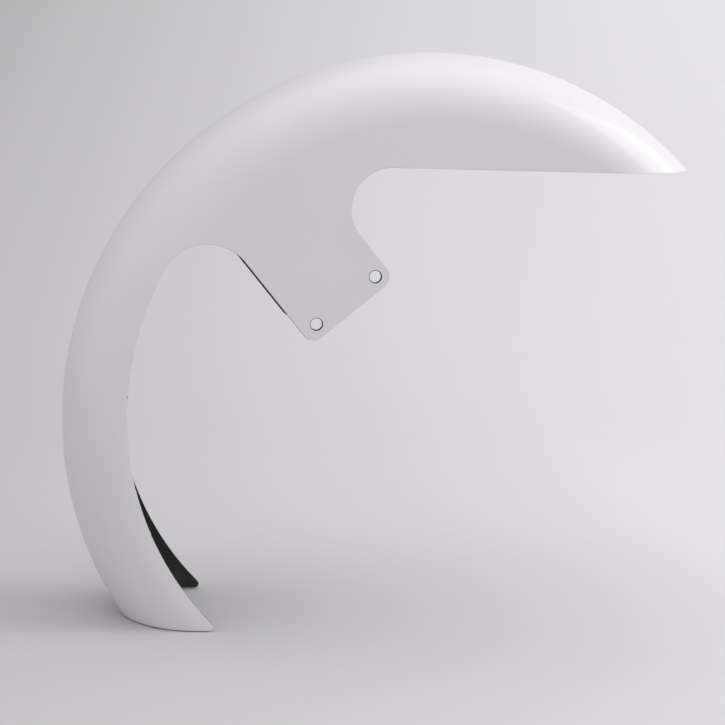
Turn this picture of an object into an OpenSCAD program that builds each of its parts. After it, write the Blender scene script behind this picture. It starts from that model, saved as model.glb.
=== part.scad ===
// Motorcycle front mudguard: one moulded shell that wraps a large front wheel.
// Millimetres. The origin is the wheel's centre, +X is forward, +Z is up and
// the axle lies along Y, so the rider's right-hand side is at -Y.

/* [Wheel wrap] */
// Radius of the crown's outer line about the axle
crown_radius = 380; // [365:1:400]
// Width across the outside of the two flat sides
guard_width = 160; // [150:1:172]
// Thickness of the moulded wall
wall = 4; // [3:0.5:5]

/* [Section] */
// How much larger than half the width the crown's radius across the width is
crown_flatness = 12; // [8:1:30]
// Radius of the shoulder between the crown and each side, at its outside
shoulder_radius = 56; // [44:1:66]

/* [Trim of the sides] */
// Depth of the sides behind the wheel, from the crown's radius to the edge's
side_depth = 64.5; // [60:0.5:71]
// How far that edge's centre lies behind the axle
edge_centre_back = 3; // [0:0.5:8]
// How far that edge's centre lies above the axle
edge_centre_up = 18; // [12:0.5:24]
// Depth of the tail's level bottom edge below the axle
tail_drop = 210; // [180:1:230]
// Radius of the corner at the foot of each side, where the tail ends
tail_corner_r = 4; // [2:0.5:8]
// Height of the front's level bottom edge above the axle
front_rise = 267; // [255:1:280]

/* [Mounting tabs] */
// Distance of the middle of each tab's two bolt holes behind the axle
bolts_back = 102; // [96:1:108]
// Height of the middle of each tab's two bolt holes above the axle
bolts_up = 133; // [127:1:139]
// Slope of the tab's end, which rises toward the front, in degrees
tab_slope = 40; // [36:1:44]
// Distance between the tab's two holes
bolt_spacing = 76; // [66:1:80]
// Diameter of each bolt hole
bolt_hole_d = 12; // [8:0.5:14]
// Width of the small chamfer round each hole on the outside
hole_ease = 0.5; // [0.2:0.1:1]
// Distance from the holes to the tab's end
end_margin = 14; // [12:0.5:18]
// Distance from the front hole to the tab's front edge
front_margin = 14; // [12:0.5:18]
// Distance from the rear hole to the tab's rear edge
rear_margin = 17; // [12:0.5:20]
// Radius of the tab's two corners
tab_corner_r = 12.5; // [6:0.5:14]
// Radius of the bay in front of the tab
front_bay_r = 41; // [34:1:46]
// Radius of the bay behind the tab
rear_bay_r = 48; // [42:1:54]

/* [Hidden] */
$fn = 48;

half_w = guard_width / 2;
arch_radius = half_w + crown_flatness;
edge_radius = crown_radius - side_depth;
bolt_hole_r = bolt_hole_d / 2;

// Rounds that only touch are made to cross by this much, so they meet cleanly.
touch = 0.002;

// The section in (radius, width): the crown's centre, the shoulders' centres
// and the angle at which the crown's round meets a shoulder's.
arch_centre = crown_radius - arch_radius;
meet_angle = asin((half_w - shoulder_radius) / (arch_radius - shoulder_radius));
shoulder_centre = arch_centre + (arch_radius - shoulder_radius) * cos(meet_angle);

// The sides are first made this far in, past the ends of the tabs.
tab_reach = norm([bolts_back, bolts_up]) - end_margin - 25;

// The tab's own axes: its origin is the middle of the two holes, X runs along
// the tab's end toward the front and Y runs out toward the crown.
tab_front = bolt_spacing / 2 + front_margin;
tab_rear = -bolt_spacing / 2 - rear_margin;
tab_end = -end_margin;
slope_c = cos(tab_slope);
slope_s = sin(tab_slope);

// The round side edge's centre on the tab's axes.
edge_dx = bolts_back - edge_centre_back;
edge_dz = edge_centre_up - bolts_up;
edge_c = [edge_dx * slope_c + edge_dz * slope_s, edge_dz * slope_c - edge_dx * slope_s];

// The rear bay touches the tab's rear edge and the round side edge.
rear_bay_x = tab_rear - rear_bay_r;
rear_bay_gap = edge_radius - rear_bay_r;
rear_bay_y = edge_c[1] + sqrt(pow(rear_bay_gap, 2) - pow(rear_bay_x - edge_c[0], 2));
rear_bay_c = [rear_bay_x, rear_bay_y];
rear_bay_dir = (rear_bay_c - edge_c) / rear_bay_gap;

// The tail's corner touches the round side edge from outside and the tail's
// level edge from above, both seen from the side.
edge_at = [-edge_centre_back, edge_centre_up];
tail_corner_z = tail_corner_r - tail_drop;
tail_corner_run = sqrt(pow(edge_radius + tail_corner_r, 2) - pow(tail_corner_z - edge_centre_up, 2));
tail_corner_c = [edge_at[0] - tail_corner_run, tail_corner_z];

// The front bay touches the tab's front edge and the front's level edge.
up = [slope_s, slope_c];
ahead = [slope_c, -slope_s];
front_bay_x = tab_front + front_bay_r;
front_level = front_rise - bolts_up - front_bay_r;
front_bay_c = [front_bay_x, (front_level - front_bay_x * slope_s) / slope_c];

// The wall is turned from just below the front's tip, over the top, to just
// past the tail's end.
turn_from = asin(front_rise / crown_radius) - 8;
tail_inset = sqrt(pow(edge_radius, 2) - pow(tail_drop + edge_centre_up, 2));
turn_to = 180 + atan2(tail_drop, tail_inset + edge_centre_back) + 8;

// Long enough to clear the whole shell.
far = 3 * crown_radius;

// Filled section of the shell, taken in from the outside by inset: two flat
// sides, two round shoulders and a flatter round crown that run into each other.
module section_fill(inset, reach) {
    side = half_w - inset;
    fan = 2 * arch_radius * [cos(meet_angle), sin(meet_angle)];
    past_crown = 2 * arch_radius;
    translate([reach, -side])
        square([shoulder_centre - reach, 2 * side]);
    for (s = [-1, 1])
        translate([shoulder_centre, s * (half_w - shoulder_radius)])
            circle(shoulder_radius - inset);
    translate([arch_centre, 0])
        intersection() {
            circle(arch_radius - inset - touch);
            polygon([[0, 0], [fan[0], -fan[1]], [past_crown, -fan[1]], [past_crown, fan[1]], fan]);
        }
}

// The wall has one thickness all over, and is turned about the axle.
module wrapped_wall() {
    rotate([90, 0, 0])
        rotate_extrude(angle = turn_to - turn_from, start = turn_from, $fn = 180)
            difference() {
                section_fill(0, tab_reach);
                section_fill(wall, tab_reach - 10);
            }
}

// What is trimmed away behind the tab, on the tab's axes: the inside of the
// round side edge, closed at the top by the rear bay.
module behind_tab() {
    on_tab = [tab_rear, rear_bay_c[1]];
    on_edge = edge_c + rear_bay_dir * edge_radius;
    past_edge = edge_c + rear_bay_dir * edge_radius * 2;
    intersection() {
        translate(edge_c) circle(edge_radius, $fn = 180);
        polygon([on_tab, on_edge, past_edge, [-far, past_edge[1]], [-far, -far], [tab_rear, -far]]);
    }
    translate(rear_bay_c) circle(rear_bay_r + touch);
}

// What is trimmed away in front of the tab and beyond its end, on its axes.
module before_and_beyond_tab() {
    on_tab = [tab_front, front_bay_c[1]];
    on_level = front_bay_c + up * front_bay_r;
    polygon([
        on_tab,
        on_level,
        on_level + ahead * far,
        [tab_front, -2 * far],
        [tab_rear - rear_bay_r, -2 * far],
        [tab_rear - rear_bay_r, tab_end],
        [tab_front, tab_end]
    ]);
    translate(front_bay_c) circle(front_bay_r + touch);
}

// What comes off one square corner to round it. The corner points to +X +Y.
module corner_trim(r) {
    difference() {
        square(r + 1);
        circle(r + touch);
    }
}

// The two corners of the tab's end, on its axes.
module tab_corners() {
    y = tab_end + tab_corner_r;
    translate([tab_front - tab_corner_r, y]) rotate(-90) corner_trim(tab_corner_r);
    translate([tab_rear + tab_corner_r, y]) rotate(180) corner_trim(tab_corner_r);
}

// The corner where the round side edge runs out at the tail's level edge.
module tail_corner() {
    toward = (edge_at - tail_corner_c) / norm(edge_at - tail_corner_c);
    past = tail_corner_r + 3;
    difference() {
        translate(tail_corner_c)
            polygon([[0, 0], toward * past, [4 * past, -past], [0, -past]]);
        translate(tail_corner_c) circle(tail_corner_r + touch);
    }
}

// Everything trimmed from both sides at once, seen from the side.
module side_trim() {
    rotate([90, 0, 0])
        linear_extrude(guard_width + 20, center = true) {
            translate([-bolts_back, bolts_up])
                rotate(tab_slope) {
                    behind_tab();
                    before_and_beyond_tab();
                    tab_corners();
                }
            tail_corner();
        }
}

// All that hangs below the tail's level bottom edge.
module below_tail() {
    translate([-far, -far, -tail_drop - far])
        cube([2 * far, 2 * far, far]);
}

// One drilling through both tabs, with its edge eased on each outside face.
module bolt_drilling() {
    rotate([90, 0, 0])
        cylinder(h = guard_width + 20, r = bolt_hole_r, center = true);
    for (side = [0, 180])
        rotate([90, 0, side])
            translate([0, 0, half_w - hole_ease])
                cylinder(h = 2 * hole_ease, r1 = bolt_hole_r, r2 = bolt_hole_r + 2 * hole_ease);
}

module mudguard() {
    color("white")
        difference() {
            wrapped_wall();
            side_trim();
            below_tail();
            for (s = [-1, 1])
                translate([
                    -bolts_back + s * bolt_spacing / 2 * slope_c,
                    0,
                    bolts_up + s * bolt_spacing / 2 * slope_s
                ])
                    bolt_drilling();
        }
}

mudguard();
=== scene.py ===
"""Motorcycle front mudguard: one moulded glass-fibre shell, satin white outside and black inside.

Metres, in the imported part's frame: the origin is the wheel's centre, +X forward, +Z up, and the
rider's right-hand side at -Y. The shell is turned and trimmed here from the part's own sizes, so
that its coat, its laid-up inside and its sanded edges can each carry their own finish.
"""

import math

import bpy
from mathutils import Matrix, Vector


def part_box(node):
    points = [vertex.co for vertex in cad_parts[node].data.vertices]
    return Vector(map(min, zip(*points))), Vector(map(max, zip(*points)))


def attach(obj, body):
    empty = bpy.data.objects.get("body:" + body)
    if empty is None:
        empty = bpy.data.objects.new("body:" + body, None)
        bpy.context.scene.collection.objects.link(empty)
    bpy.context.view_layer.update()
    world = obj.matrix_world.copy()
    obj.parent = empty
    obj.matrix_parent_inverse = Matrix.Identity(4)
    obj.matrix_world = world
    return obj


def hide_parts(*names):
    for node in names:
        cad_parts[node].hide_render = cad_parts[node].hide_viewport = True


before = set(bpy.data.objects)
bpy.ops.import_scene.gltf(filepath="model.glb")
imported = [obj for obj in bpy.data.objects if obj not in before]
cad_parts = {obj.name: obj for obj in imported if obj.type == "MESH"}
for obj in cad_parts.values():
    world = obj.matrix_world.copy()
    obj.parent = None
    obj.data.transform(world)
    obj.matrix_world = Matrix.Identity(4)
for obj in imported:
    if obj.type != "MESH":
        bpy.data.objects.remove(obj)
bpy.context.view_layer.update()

MM = 0.001
QUARTER = math.radians(90)
GUARD_LOW, GUARD_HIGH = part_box("mudguard")

# Wheel wrap and section, as in the part's source.
CROWN_RADIUS = 380 * MM
WALL = 4 * MM
HALF_WIDTH = GUARD_HIGH.y
CROWN_FLATNESS = 12 * MM
ARCH_RADIUS = HALF_WIDTH + CROWN_FLATNESS
SHOULDER_RADIUS = 56 * MM

# The sides are first turned in to this radius, past the ends of the tabs.
SIDE_REACH = 125 * MM

# Inside this radius the sides are flat and need few faces. One more line runs just under each
# shoulder.
FLAT_TOP = 300 * MM
UNDER_SHOULDER = 3 * MM

# A ring in the middle of the hollow. The outside of the wall faces away from it all round.
HOLLOW_RADIUS = FLAT_TOP - 20 * MM

# The turn about the axle, from under the front's tip to past the tail.
FIRST_TURN = math.radians(36)
LAST_TURN = math.radians(232)
TURN_STEPS = 196

# Trim of the sides, seen from the side in X and Z.
SIDE_DEPTH = 64.5 * MM
EDGE_RADIUS = CROWN_RADIUS - SIDE_DEPTH
EDGE_CENTRE = Vector((-3, 18)) * MM
TAIL_LEVEL = GUARD_LOW.z
TAIL_CORNER = 4 * MM
FRONT_LEVEL = 267 * MM

# Mounting tabs. Their own axes start midway between the two bolt holes.
BOLTS_MIDDLE = Vector((-102, 133)) * MM
TAB_SLOPE = math.radians(40)
BOLT_SPACING = 76 * MM
HOLES_ALONG = (-BOLT_SPACING / 2, BOLT_SPACING / 2)
BOLT_HOLE_RADIUS = 6 * MM
END_MARGIN = 14 * MM
FRONT_MARGIN = 14 * MM
REAR_MARGIN = 17 * MM
TAB_END = -END_MARGIN
TAB_FRONT = BOLT_SPACING / 2 + FRONT_MARGIN
TAB_REAR = -BOLT_SPACING / 2 - REAR_MARGIN
TAB_CORNER = 12.5 * MM
FRONT_BAY = 41 * MM
REAR_BAY = 48 * MM

# How many steps each round stretch is drawn in.
SHOULDER_STEPS = 18
CROWN_STEPS = 14
TAIL_CORNER_STEPS = 8
SIDE_EDGE_STEPS = 96
REAR_BAY_STEPS = 36
TAB_CORNER_STEPS = 16
FRONT_BAY_STEPS = 40
DRILL_SIDES = 56

# The trim block's outer corners lie this far out, and the cutters run this far past each side.
BLOCK_REACH = 450 * MM
PAST_SIDE = 20 * MM

# How far the edges are eased: under the coat, at the bolt holes and inside.
COATED_EASE = 0.4 * MM
HOLE_EASE = 0.75 * MM
BARE_EASE = 0.45 * MM
EASE_STEPS = 2
ROUND_PROFILE = 0.5

# Two faces whose normals have a dot product above this run straight on, with no edge to ease.
STRAIGHT_ON = 0.8

# An edge no farther than this from a bolt hole's round belongs to the hole.
HOLE_MARGIN = 1 * MM

# Points that lie closer than this are made one: in the turned wall, in the trimmed mesh, so that
# few easings fold over, and in the eased mesh.
TURNED_MERGE = 0.01 * MM
CLOSE_POINTS = 0.5 * MM
EASED_MERGE = 0.005 * MM

# A place off to one side, from which near points of the shell don't lie equally far away.
ORDER_FROM = (1.3, 2.9, 0.7)

# What counts as flat, as the part of a normal that lies along the axle and as the angle between
# two faces, and the angle up to which the shading runs on smoothly.
FLAT_NORMAL = 0.99999
FLAT_WITHIN = math.radians(0.3)
SMOOTH_WITHIN = math.radians(50)

# The shell's finishes, in the order of its material slots.
OUTSIDE, WORN, INSIDE, BARE = range(4)


def start_clean():
    """Nothing stays selected, so that an operator acts only on its own piece."""
    if bpy.context.object and bpy.context.object.mode != "OBJECT":
        bpy.ops.object.mode_set(mode="OBJECT")
    bpy.ops.object.select_all(action="DESELECT")


def make_active(piece):
    """Selects this piece and nothing else."""
    start_clean()
    piece.select_set(True)
    bpy.context.view_layer.objects.active = piece


def in_place(piece):
    """Puts the piece's place, turn and size into its mesh."""
    make_active(piece)
    bpy.ops.object.transform_apply(location=True, rotation=True, scale=True)


def pick(piece, faces=None, edges=None):
    """Selects the faces or the edges that the test holds for, and stays in edit mode."""
    make_active(piece)
    mesh = piece.data
    bpy.ops.object.mode_set(mode="EDIT")
    bpy.ops.mesh.select_mode(type="FACE" if faces else "EDGE")
    bpy.ops.mesh.select_all(action="DESELECT")
    bpy.ops.object.mode_set(mode="OBJECT")
    if faces:
        for face in mesh.polygons:
            face.select = faces(face)
    if edges:
        for edge in mesh.edges:
            edge.select = edges(edge)
    bpy.ops.object.mode_set(mode="EDIT")


def ends_of(piece, edge):
    """Where an edge of the piece starts and where it ends."""
    return [piece.data.vertices[v].co for v in edge.vertices]


def faces_beside(piece):
    """For each edge of the piece, the finish and the normal of the faces beside it."""
    beside = {}
    for face in piece.data.polygons:
        for key in face.edge_keys:
            beside.setdefault(key, []).append((face.material_index, face.normal.copy()))
    return beside


def arc(centre, radius, start, end, steps):
    """Points along an arc, both its ends included."""
    turn = (end - start) / steps
    return [
        centre + radius * Vector((math.cos(start + turn * i), math.sin(start + turn * i)))
        for i in range(steps + 1)
    ]


def direction(vector):
    """The angle at which a flat vector points."""
    return math.atan2(vector.y, vector.x)


def tab_to_side(point):
    """A point on the tab's axes, in the side view's X and Z."""
    return BOLTS_MIDDLE + Matrix.Rotation(TAB_SLOPE, 2) @ point


def side_to_tab(point):
    """A point of the side view, on the tab's axes."""
    return Matrix.Rotation(-TAB_SLOPE, 2) @ (point - BOLTS_MIDDLE)


def wire(name, points):
    """A closed wire, extruded from point to point and filled with one face."""
    start_clean()
    bpy.ops.mesh.primitive_plane_add(size=10 * MM)
    piece = bpy.context.object
    piece.name = name
    bpy.ops.object.mode_set(mode="EDIT")
    bpy.ops.mesh.select_all(action="SELECT")
    bpy.ops.mesh.merge(type="CENTER")
    bpy.ops.transform.translate(value=points[0])
    for here, there in zip(points, points[1:]):
        bpy.ops.mesh.extrude_region_move(TRANSFORM_OT_translate={"value": there - here})
    bpy.ops.mesh.select_all(action="SELECT")
    bpy.ops.mesh.edge_face_add()
    return piece


def half_section(inset):
    """The left-hand half of the section, from the side's foot up to the crown.

    Its points are radius and width, taken in from the outside by inset. The crown's top point
    isn't included.
    """
    width = HALF_WIDTH - inset
    crown_at = CROWN_RADIUS - ARCH_RADIUS
    meet = math.asin((HALF_WIDTH - SHOULDER_RADIUS) / (ARCH_RADIUS - SHOULDER_RADIUS))
    shoulder_rise = (ARCH_RADIUS - SHOULDER_RADIUS) * math.cos(meet)
    shoulder_at = Vector((crown_at + shoulder_rise, HALF_WIDTH - SHOULDER_RADIUS))
    flat = [
        Vector((SIDE_REACH - inset, width)),
        Vector((FLAT_TOP, width)),
        Vector((shoulder_at.x - UNDER_SHOULDER, width)),
    ]
    shoulder = arc(shoulder_at, SHOULDER_RADIUS - inset, QUARTER, meet, SHOULDER_STEPS)
    crown = arc(Vector((crown_at, 0)), ARCH_RADIUS - inset, meet, 0, CROWN_STEPS)
    return flat + shoulder + crown[1:-1]


def wall_section():
    """The wall's closed outline: outside from left foot to right, and back along the inside."""
    outline = []
    for inset in (0, WALL):
        left = half_section(inset)
        top = Vector((CROWN_RADIUS - inset, 0))
        right = [Vector((p.x, -p.y)) for p in reversed(left)]
        line = left + [top] + right
        outline += line if inset == 0 else reversed(line)
    return outline


def turned_shell():
    """The wall's section, turned about the axle from under the front's tip to past the tail."""
    start = Vector((math.cos(FIRST_TURN), 0, math.sin(FIRST_TURN)))
    points = [start * p.x + Vector((0, p.y, 0)) for p in wall_section()]
    shell = wire("mudguard_shell", points)
    bpy.ops.mesh.spin(
        steps=TURN_STEPS,
        angle=LAST_TURN - FIRST_TURN,
        center=(0, 0, 0),
        axis=(0, 1, 0),
        use_auto_merge=False,
    )
    bpy.ops.mesh.select_all(action="SELECT")
    bpy.ops.mesh.remove_doubles(threshold=TURNED_MERGE)
    bpy.ops.mesh.normals_make_consistent(inside=False)
    in_place(shell)
    return shell


def tail_corner_centre():
    """The corner touches the round side edge from outside and the tail's level edge from above."""
    corner_z = TAIL_LEVEL + TAIL_CORNER
    corner_drop = EDGE_CENTRE.y - corner_z
    corner_run = math.sqrt((EDGE_RADIUS + TAIL_CORNER) ** 2 - corner_drop**2)
    return Vector((EDGE_CENTRE.x - corner_run, corner_z))


def rear_bay_centre():
    """The rear bay touches the tab's rear edge and the round side edge."""
    edge_on_tab = side_to_tab(EDGE_CENTRE)
    bay_x = TAB_REAR - REAR_BAY
    bay_rise = math.sqrt((EDGE_RADIUS - REAR_BAY) ** 2 - (bay_x - edge_on_tab.x) ** 2)
    return tab_to_side(Vector((bay_x, edge_on_tab.y + bay_rise)))


def front_bay_centre():
    """The front bay touches the tab's front edge and the front's level edge."""
    bay_z = FRONT_LEVEL - FRONT_BAY
    ahead_x = TAB_FRONT + FRONT_BAY
    up_tab = (bay_z - BOLTS_MIDDLE.y - ahead_x * math.sin(TAB_SLOPE)) / math.cos(TAB_SLOPE)
    return tab_to_side(Vector((ahead_x, up_tab)))


def trim_line():
    """The line that both sides are trimmed to, from the tail forward to the front's tip."""
    tail_corner, rear_bay, front_bay = tail_corner_centre(), rear_bay_centre(), front_bay_centre()
    to_edge = direction(EDGE_CENTRE - tail_corner)
    to_rear_bay = direction(rear_bay - EDGE_CENTRE)
    foot_y = TAB_END + TAB_CORNER
    rear_foot = tab_to_side(Vector((TAB_REAR + TAB_CORNER, foot_y)))
    front_foot = tab_to_side(Vector((TAB_FRONT - TAB_CORNER, foot_y)))
    slope, back = TAB_SLOPE, TAB_SLOPE + 2 * QUARTER
    return (
        arc(tail_corner, TAIL_CORNER, -QUARTER, to_edge, TAIL_CORNER_STEPS)
        + arc(EDGE_CENTRE, EDGE_RADIUS, to_edge + 2 * QUARTER, to_rear_bay, SIDE_EDGE_STEPS)[1:]
        + arc(rear_bay, REAR_BAY, to_rear_bay, slope, REAR_BAY_STEPS)[1:]
        + arc(rear_foot, TAB_CORNER, back, slope + 3 * QUARTER, TAB_CORNER_STEPS)
        + arc(front_foot, TAB_CORNER, slope - QUARTER, slope, TAB_CORNER_STEPS)
        + arc(front_bay, FRONT_BAY, back, QUARTER, FRONT_BAY_STEPS)
    )


def cut_away(shell, cutter):
    """Takes the cutter's volume out of the shell, and the cutter out of the scene."""
    make_active(shell)
    cut = shell.modifiers.new("cut", "BOOLEAN")
    cut.operation = "DIFFERENCE"
    cut.solver = "EXACT"
    cut.object = cutter
    bpy.ops.object.modifier_apply(modifier=cut.name)
    bpy.data.objects.remove(cutter)


def wheel_side_block():
    """All that is trimmed off the sides and below the tail and the front, in one block."""
    around = [
        Vector((BLOCK_REACH, FRONT_LEVEL)),
        Vector((BLOCK_REACH, -BLOCK_REACH)),
        Vector((-BLOCK_REACH, -BLOCK_REACH)),
        Vector((-BLOCK_REACH, TAIL_LEVEL)),
    ]
    start_y = -HALF_WIDTH - PAST_SIDE
    block = wire("trim_block", [Vector((p.x, start_y, p.y)) for p in trim_line() + around])
    bpy.ops.mesh.select_all(action="SELECT")
    through = {"value": (0, -2 * start_y, 0)}
    bpy.ops.mesh.extrude_region_move(TRANSFORM_OT_translate=through)
    bpy.ops.mesh.select_all(action="SELECT")
    bpy.ops.mesh.normals_make_consistent(inside=False)
    in_place(block)
    return block


def bolt_drill(along):
    """One drill through both tabs."""
    at = tab_to_side(Vector((along, 0)))
    start_clean()
    bpy.ops.mesh.primitive_cylinder_add(
        vertices=DRILL_SIDES,
        radius=BOLT_HOLE_RADIUS,
        depth=2 * HALF_WIDTH + 2 * PAST_SIDE,
        location=(at.x, 0, at.y),
        rotation=(QUARTER, 0, 0),
    )
    drill = bpy.context.object
    in_place(drill)
    return drill


def paint(shell):
    """White on the faces that look away from the hollow's middle, black on the others."""
    for face in shell.data.polygons:
        radius = math.hypot(face.center.x, face.center.z)
        radial = Vector((face.center.x, 0, face.center.z)) / radius
        middle = radial * min(radius, HOLLOW_RADIUS)
        outward = (face.center - middle).dot(face.normal) > 0
        face.material_index = OUTSIDE if outward else INSIDE


def paint_all(piece, slot, finishes):
    """Gives the piece the shell's finishes, and one of them to all its faces."""
    for finish in finishes:
        piece.data.materials.append(finish)
    for face in piece.data.polygons:
        face.material_index = slot


def is_flat_side(face):
    """A face of the two flat sides, well below the shoulder."""
    radius = math.hypot(face.center.x, face.center.z)
    return abs(face.normal.y) > FLAT_NORMAL and radius < FLAT_TOP


def at_bolt_hole(point):
    """Whether the point lies in one of the two bolt holes or at its edge."""
    across = Vector((point.x, point.z))
    centres = (tab_to_side(Vector((along, 0))) for along in HOLES_ALONG)
    return any((across - centre).length < BOLT_HOLE_RADIUS + HOLE_MARGIN for centre in centres)


def ease(shell, width, slot, wanted):
    """Rounds the edges between a cut face and a painted one, where wanted holds for the edge."""
    beside = faces_beside(shell)

    def is_rim(edge):
        (one, one_normal), (other, other_normal) = beside[edge.key]
        straight_on = one_normal.dot(other_normal) > STRAIGHT_ON
        if one == other or BARE not in (one, other) or straight_on:
            return False
        start, end = ends_of(shell, edge)
        return wanted((one, other), (start + end) / 2)

    pick(shell, edges=is_rim)
    bpy.ops.mesh.bevel(
        offset=width,
        segments=EASE_STEPS,
        profile=ROUND_PROFILE,
        affect="EDGES",
        clamp_overlap=False,
        loop_slide=False,
        material=slot,
    )
    in_place(shell)


def finish_line(shell):
    """A test for the edges where one finish meets another."""
    beside = faces_beside(shell)
    return lambda edge: len({finish for finish, normal in beside[edge.key]}) > 1


def fix_order(shell):
    """Puts points, edges and faces in order of their distance from one place.

    The cuts leave them in an order that changes from run to run, and which close points are made
    one depends on it. In an unlucky order that leaves an edge open, and then easing stops.
    """
    cursor = bpy.context.scene.cursor
    cursor.location = ORDER_FROM
    make_active(shell)
    bpy.ops.object.mode_set(mode="EDIT")
    bpy.ops.mesh.select_all(action="SELECT")
    bpy.ops.mesh.sort_elements(type="CURSOR_DISTANCE", elements={"VERT", "EDGE", "FACE"})
    in_place(shell)
    cursor.location = (0, 0, 0)


def thin_out(shell):
    """Leaves few faces on the flat sides, and no points that lie almost together at a cut."""
    pick(shell, faces=is_flat_side)
    bpy.ops.mesh.dissolve_limited(angle_limit=FLAT_WITHIN, delimit={"MATERIAL"})
    bpy.ops.mesh.select_all(action="SELECT")
    bpy.ops.mesh.remove_doubles(threshold=CLOSE_POINTS)
    in_place(shell)


def ease_rims(shell):
    """Eases the cut edges under the coat, round the bolt holes and inside."""
    ease(shell, COATED_EASE, WORN, lambda sides, at: OUTSIDE in sides and not at_bolt_hole(at))
    ease(shell, HOLE_EASE, BARE, lambda sides, at: OUTSIDE in sides and at_bolt_hole(at))
    ease(shell, BARE_EASE, BARE, lambda sides, at: INSIDE in sides)


def smooth(shell):
    """Smooth shading that breaks where one finish meets another, so that the coat stays true."""
    make_active(shell)
    bpy.ops.object.mode_set(mode="EDIT")
    bpy.ops.mesh.select_all(action="SELECT")
    bpy.ops.mesh.remove_doubles(threshold=EASED_MERGE)
    bpy.ops.object.mode_set(mode="OBJECT")
    pick(shell, edges=finish_line(shell))
    bpy.ops.mesh.mark_sharp()
    bpy.ops.object.mode_set(mode="OBJECT")
    bpy.ops.object.shade_smooth_by_angle(angle=SMOOTH_WITHIN)
    even = shell.modifiers.new("even", "WEIGHTED_NORMAL")
    even.mode = "FACE_AREA"
    even.weight = 100
    even.keep_sharp = True
    bpy.ops.object.modifier_apply(modifier=even.name)


def trimmed_shell(finishes):
    """The turned shell, cut to its outline, drilled, and eased along every cut."""
    shell = turned_shell()
    for finish in finishes:
        shell.data.materials.append(finish)
    paint(shell)
    cutters = [wheel_side_block()] + [bolt_drill(along) for along in HOLES_ALONG]
    for cutter in cutters:
        paint_all(cutter, BARE, finishes)
        cut_away(shell, cutter)
    fix_order(shell)
    thin_out(shell)
    ease_rims(shell)
    smooth(shell)
    return shell


class Finish:
    """One finish: its shader's plain values, and short calls that wire its nodes."""

    def __init__(self, name, **plain):
        self.material = bpy.data.materials.new(name)
        self.material.use_nodes = True
        self.tree = self.material.node_tree
        self.shader = self.tree.nodes["Principled BSDF"]
        for socket, value in plain.items():
            self.shader.inputs[socket.replace("_", " ")].default_value = value
        self.place = self.tree.nodes.new("ShaderNodeTexCoord").outputs["Object"]

    def put(self, node, sockets):
        """Links each output to the node's socket, or sets the socket to a plain value."""
        for key, value in sockets.items():
            if isinstance(value, bpy.types.NodeSocket):
                self.tree.links.new(value, node.inputs[key])
            else:
                node.inputs[key].default_value = value

    def axes(self):
        """Object coordinates, as separate X, Y and Z."""
        node = self.tree.nodes.new("ShaderNodeSeparateXYZ")
        self.put(node, {"Vector": self.place})
        return node.outputs

    def stretched(self, waves, turn=(0, 0, 0)):
        """Object coordinates, turned, then scaled to so many waves to the metre on each axis."""
        mapping = self.tree.nodes.new("ShaderNodeMapping")
        mapping.vector_type = "TEXTURE"
        lengths = [1 / count for count in waves]
        self.put(mapping, {"Vector": self.place, "Scale": lengths, "Rotation": turn})
        return mapping.outputs["Vector"]

    def noise(self, scale, detail=2.0, roughness=0.5, distortion=0.0, at=None):
        """Soft noise, its scale in waves to the metre."""
        node = self.tree.nodes.new("ShaderNodeTexNoise")
        values = {"Scale": scale, "Detail": detail, "Roughness": roughness}
        self.put(node, {"Vector": at or self.place, "Distortion": distortion, **values})
        return node.outputs["Fac"]

    def between(self, value, low, high, to_low=0.0, to_high=1.0):
        """A value's range from low to high, clamped, spread from to_low to to_high."""
        node = self.tree.nodes.new("ShaderNodeMapRange")
        ends = {"From Min": low, "From Max": high, "To Min": to_low, "To Max": to_high}
        self.put(node, {"Value": value, **ends})
        return node.outputs["Result"]

    def maths(self, operation, first, second):
        """One operation on two values."""
        node = self.tree.nodes.new("ShaderNodeMath")
        node.operation = operation
        self.put(node, {0: first, 1: second})
        return node.outputs["Value"]

    def blend(self, amount, first, second):
        """A colour between two others."""
        node = self.tree.nodes.new("ShaderNodeMix")
        node.data_type = "RGBA"
        ends = [s for s in node.inputs if s.name in ("A", "B") and s.type == "RGBA"]
        self.put(node, {0: amount})
        for socket, value in zip(ends, (first, second)):
            if isinstance(value, bpy.types.NodeSocket):
                self.tree.links.new(value, socket)
            else:
                socket.default_value = (*value, 1)
        return next(s for s in node.outputs if s.type == "RGBA")

    def relief(self, height, depth, over=None):
        """Surface relief of the given depth in metres, on top of another relief."""
        node = self.tree.nodes.new("ShaderNodeBump")
        self.put(node, {"Height": height, "Distance": depth, "Strength": 1.0})
        if over:
            self.put(node, {"Normal": over})
        return node.outputs["Normal"]


COAT_WHITE = (0.79, 0.77, 0.795)
COAT_CHALKY = (0.74, 0.72, 0.742)
LAMINATE_BLACK = (0.014, 0.014, 0.015)
LAMINATE_GREY = (0.055, 0.055, 0.058)
GLASS_FIBRE = (0.16, 0.155, 0.145)

# The ways in which the mat's strands lie, each a turn about X, Y and Z in radians.
STRAND_TURNS = (
    (0.1, 0.2, 0.1),
    (0.2, 0.9, 0.3),
    (0.1, 1.8, 0.2),
    (0.3, 2.5, 0.1),
    (0.2, 0.5, 1.4),
    (1.1, 2.2, 0.9),
)


def coat_colour(finish):
    """The white coat, a little uneven where it was rubbed down."""
    cloud = finish.between(finish.noise(scale=9, detail=3, roughness=0.55), low=0.35, high=0.7)
    speck = finish.between(finish.noise(scale=900, detail=1), low=0.62, high=0.75)
    rubbed = finish.maths("MULTIPLY", cloud, 0.35)
    soiled = finish.maths("MAXIMUM", rubbed, finish.maths("MULTIPLY", speck, 0.3))
    return finish.blend(soiled, COAT_WHITE, COAT_CHALKY)


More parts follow.
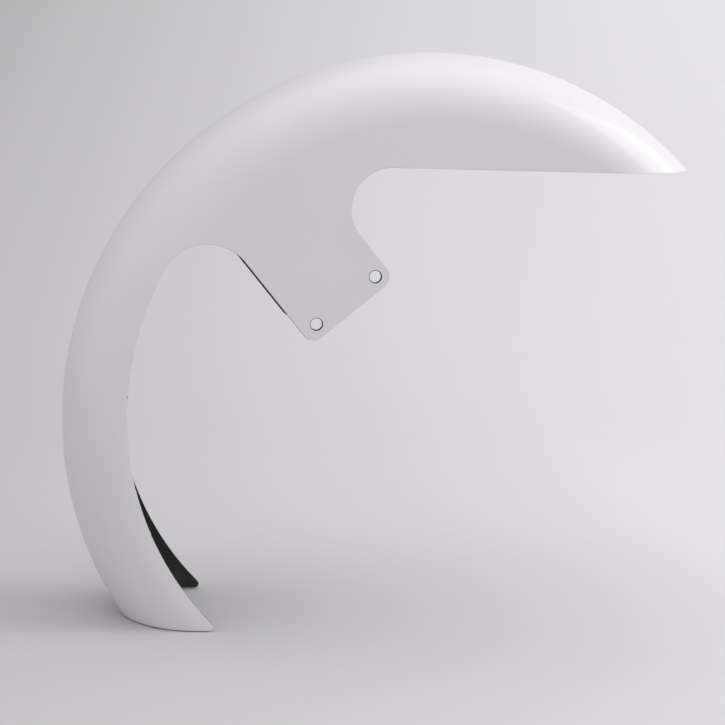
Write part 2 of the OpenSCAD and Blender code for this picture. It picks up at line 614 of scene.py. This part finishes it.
def coat_roughness(finish):
    """Satin, with duller patches and fine rubbing marks that run along the wrap."""
    clouds = finish.noise(scale=22, detail=4, roughness=0.6)
    patch = finish.between(clouds, low=0.3, high=0.7, to_low=0.4, to_high=0.5)
    along_wrap = finish.stretched((160, 2400, 160))
    rubbing = finish.noise(scale=1, detail=5, roughness=0.7, at=along_wrap)
    marks = finish.between(rubbing, low=0.45, high=0.75, to_low=0.0, to_high=0.06)
    return finish.maths("ADD", patch, marks)


def coat_relief(finish):
    """The hand-laid shell's slow waves under the sprayed coat's fine orange peel."""
    waves = finish.relief(finish.noise(scale=11, detail=1), depth=0.35 * MM)
    peel = finish.noise(scale=520, detail=2, roughness=0.45)
    return finish.relief(peel, depth=0.02 * MM, over=waves)


def white_coat():
    """The satin white coat on the outside."""
    finish = Finish("white_coat", Specular_IOR_Level=0.3, Coat_Weight=0.3, Coat_Roughness=0.06)
    finish.put(finish.shader, {
        "Base Color": coat_colour(finish),
        "Roughness": coat_roughness(finish),
        "Normal": coat_relief(finish),
    })
    return finish.material


def tab_rear_edge(finish):
    """1 along the rear edges of both tabs, and 0 away from them."""
    axes = finish.axes()
    along_x = finish.maths("MULTIPLY", axes["X"], math.cos(TAB_SLOPE))
    along_z = finish.maths("MULTIPLY", axes["Z"], math.sin(TAB_SLOPE))
    rear_edge = tab_to_side(Vector((TAB_REAR, 0)))
    edge_along = rear_edge.x * math.cos(TAB_SLOPE) + rear_edge.y * math.sin(TAB_SLOPE)
    ahead = finish.maths("SUBTRACT", finish.maths("ADD", along_x, along_z), edge_along)
    distance = finish.maths("ABSOLUTE", ahead, 0)
    return finish.between(distance, low=1 * MM, high=3 * MM, to_low=1, to_high=0)


def worn_coat_edge():
    """The coat where it thins out over an eased edge, so that the black shows through.

    It is thinnest along the tabs' rear edges.
    """
    finish = Finish("worn_coat_edge")
    wear = finish.noise(scale=40, detail=3, roughness=0.6)
    thin = finish.between(wear, low=0.38, high=0.68, to_low=0.04, to_high=0.35)
    rear_edge = finish.maths("MULTIPLY", tab_rear_edge(finish), 0.95)
    thinnest = finish.maths("MAXIMUM", thin, rear_edge)
    grain = finish.noise(scale=650, detail=2)
    uneven = finish.between(grain, low=0.3, high=0.6, to_low=0.8, to_high=1.05)
    through = finish.maths("MULTIPLY", thinnest, uneven)
    finish.put(finish.shader, {
        "Base Color": finish.blend(through, coat_colour(finish), LAMINATE_GREY),
        "Roughness": finish.between(through, low=0, high=1, to_low=0.38, to_high=0.62),
        "Normal": finish.relief(finish.noise(scale=900, detail=2), depth=0.03 * MM),
    })
    return finish.material


def strands(finish, turn):
    """Chopped strands that lie one way, each about 25 mm long and 1.5 mm wide."""
    along_strand = finish.stretched((40, 650, 650), turn)
    return finish.noise(scale=1, detail=2, roughness=0.5, distortion=0.4, at=along_strand)


def black_inside():
    """Black coat over the chopped-strand mat of the laid-up side."""
    finish = Finish("black_inside", Specular_IOR_Level=0.4)
    mat = strands(finish, STRAND_TURNS[0])
    for turn in STRAND_TURNS[1:]:
        mat = finish.maths("MAXIMUM", mat, strands(finish, turn))
    raised = finish.between(mat, low=0.58, high=0.8)
    dusty = finish.noise(scale=14, detail=4, roughness=0.6)
    dust = finish.between(dusty, low=0.45, high=0.8, to_low=0, to_high=0.5)
    worn = finish.maths("MAXIMUM", dust, finish.maths("MULTIPLY", raised, 0.6))
    mat_relief = finish.relief(raised, depth=0.25 * MM)
    grain = finish.noise(scale=700, detail=2)
    finish.put(finish.shader, {
        "Base Color": finish.blend(worn, LAMINATE_BLACK, LAMINATE_GREY),
        "Roughness": finish.between(raised, low=0, high=1, to_low=0.55, to_high=0.38),
        "Normal": finish.relief(grain, depth=0.04 * MM, over=mat_relief),
    })
    return finish.material


def sanded_cut():
    """The laminate's cut edge: sanded black resin with a few glass fibres cut through."""
    finish = Finish("sanded_cut", Specular_IOR_Level=0.35)
    along_wrap = finish.stretched((260, 2600, 260))
    layers = finish.noise(scale=1, detail=3, roughness=0.6, at=along_wrap)
    ends = finish.noise(scale=1500, detail=2)
    fibre = finish.between(ends, low=0.64, high=0.72, to_low=0, to_high=0.7)
    resin = finish.between(layers, low=0.4, high=0.7)
    ground = finish.blend(resin, LAMINATE_BLACK, LAMINATE_GREY)
    finish.put(finish.shader, {
        "Base Color": finish.blend(fibre, ground, GLASS_FIBRE),
        "Roughness": finish.between(layers, low=0.3, high=0.7, to_low=0.5, to_high=0.75),
        "Normal": finish.relief(layers, depth=0.05 * MM),
    })
    return finish.material


shell = trimmed_shell([white_coat(), worn_coat_edge(), black_inside(), sanded_cut()])
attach(shell, "root")
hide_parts("mudguard")


# The paper's floor and backdrop, in metres. All that lies beyond PAPER_FAR is its far edge.
PAPER_WIDTH = 14
PAPER_DEPTH = 7
PAPER_FAR = 3
BACKDROP_RISE = 6
PAPER_BEND = 2.6
PAPER_BEND_STEPS = 32

# The guard hangs from its mount, so its tail just clears the floor.
FLOOR_GAP = 1.1 * MM

# The tones that the camera and reflections see on the paper, with painted shade toward the left
# and painted light toward the right, and the X between which the floor and the backdrop go from
# left to right. The floor's tone runs up into the backdrop's by BACKDROP_FROM.
FLOOR_LEFT = (0.56, 0.546, 0.56)
FLOOR_RIGHT = (0.745, 0.725, 0.75)
FLOOR_SPAN = (-0.6, 0.4)
WALL_LEFT = (0.402, 0.398, 0.405)
WALL_RIGHT = (0.99, 0.982, 0.995)
WALL_SPAN = (-0.5, 1.4)
BACKDROP_FROM = 1.2

# What the paper throws back onto the guard is less, as it fills only a part of a real studio.
PAPER_BOUNCE = (0.52, 0.52, 0.52)


def paper_sheet():
    """A floor that turns up into the backdrop in one sheet."""
    start_clean()
    bpy.ops.mesh.primitive_plane_add(size=1, location=(0, 0, TAIL_LEVEL - FLOOR_GAP))
    sheet = bpy.context.object
    sheet.name = "studio_sweep"
    sheet.scale = (PAPER_WIDTH, PAPER_DEPTH, 1)
    in_place(sheet)

    def is_far(edge):
        return all(end.y > PAPER_FAR for end in ends_of(sheet, edge))

    def is_far_floor(edge):
        return is_far(edge) and all(end.z < 0 for end in ends_of(sheet, edge))

    pick(sheet, edges=is_far)
    bpy.ops.mesh.extrude_region_move(TRANSFORM_OT_translate={"value": (0, 0, BACKDROP_RISE)})
    in_place(sheet)
    pick(sheet, edges=is_far_floor)
    bpy.ops.mesh.bevel(
        offset=PAPER_BEND,
        segments=PAPER_BEND_STEPS,
        profile=ROUND_PROFILE,
        affect="EDGES",
    )
    bpy.ops.mesh.select_all(action="SELECT")
    bpy.ops.mesh.normals_make_consistent(inside=False)
    in_place(sheet)
    bpy.ops.object.shade_smooth()
    return sheet


def pale_paper():
    """Pale paper with painted shade toward the left and painted light toward the right, as the
    camera and reflections see it; it throws less light back than it shows.
    """
    finish = Finish("pale_paper", Specular_IOR_Level=0.2)
    axes = finish.axes()
    rise = finish.between(axes["Z"], TAIL_LEVEL, BACKDROP_FROM)
    # Painted shade toward the left and painted light toward the right, on the floor and the
    # backdrop alike.
    floor_painted_light = finish.blend(finish.between(axes["X"], *FLOOR_SPAN), FLOOR_LEFT, FLOOR_RIGHT)
    wall_painted_light = finish.blend(finish.between(axes["X"], *WALL_SPAN), WALL_LEFT, WALL_RIGHT)
    path = finish.tree.nodes.new("ShaderNodeLightPath").outputs
    seen = finish.maths("MAXIMUM", path["Is Camera Ray"], path["Is Glossy Ray"])
    grain = finish.noise(scale=30, detail=2)
    finish.put(finish.shader, {
        "Base Color": finish.blend(seen, PAPER_BOUNCE, finish.blend(rise, floor_painted_light, wall_painted_light)),
        "Roughness": finish.between(grain, low=0.3, high=0.7, to_low=0.6, to_high=0.7),
    })
    return finish.material


def paper_sweep():
    """The pale floor and backdrop."""
    sheet = paper_sheet()
    sheet.data.materials.append(pale_paper())
    return sheet


paper_sweep()


def lamp_panel(name, place, turn, size, watts):
    """One flat lamp that shines down its own Z axis, whose X and Y axes are the turn's."""
    start_clean()
    bpy.ops.object.light_add(type="AREA", location=place)
    lamp = bpy.context.object
    lamp.name = name
    lamp.rotation_euler = turn.to_euler()
    lamp.data.shape = "RECTANGLE"
    lamp.data.size, lamp.data.size_y = size
    lamp.data.energy = watts


def soft_box():
    """One large soft box ahead of the guard and above it, with one edge toward the camera."""
    toward = Vector((0.81, -0.08, 0.58)).normalized()
    across = Vector((0.649, 0.695, -0.308))
    across = (across - across.dot(toward) * toward).normalized()
    turn = Matrix((across, toward.cross(across), toward)).transposed()
    distance = 3
    lamp_panel("soft_box", place=distance * toward, turn=turn, size=(2.0, 2.1), watts=38)


def overhead_panel():
    """A weak, broad panel straight above, which lifts the crown a little."""
    straight_down = Matrix.Identity(3)
    above = (-0.05, 0.1, 3)
    lamp_panel("overhead_panel", place=above, turn=straight_down, size=(3, 3), watts=18)


def studio_air(strength):
    """The pale light that comes from all round the studio."""
    world = bpy.context.scene.world or bpy.data.worlds.new("studio")
    bpy.context.scene.world = world
    world.use_nodes = True
    air = world.node_tree.nodes["Background"]
    air.inputs["Color"].default_value = (1, 1, 1, 1)
    air.inputs["Strength"].default_value = strength


soft_box()
overhead_panel()
studio_air(strength=0.76)


def photo_camera():
    """The photograph's camera: where it stood, how it was turned, and its lens."""
    stood = Vector((-450.3, -2084.8, 433.0)) * MM
    down, toward_front, tilt = (math.radians(a) for a in (10.10, 10.39, 2.22))
    heading = Matrix.Rotation(-toward_front, 3, "Z")
    pitch = Matrix.Rotation(QUARTER - down, 3, "X")
    roll = Matrix.Rotation(tilt, 3, "Z")
    start_clean()
    bpy.ops.object.camera_add(location=stood)
    camera = bpy.context.object
    camera.rotation_euler = (heading @ pitch @ roll).to_euler()
    camera.data.sensor_width = 36
    camera.data.lens = 101.74
    return camera


bpy.context.scene.camera = photo_camera()
bpy.context.scene.view_settings.view_transform = "Standard"

bpy.context.view_layer.update()
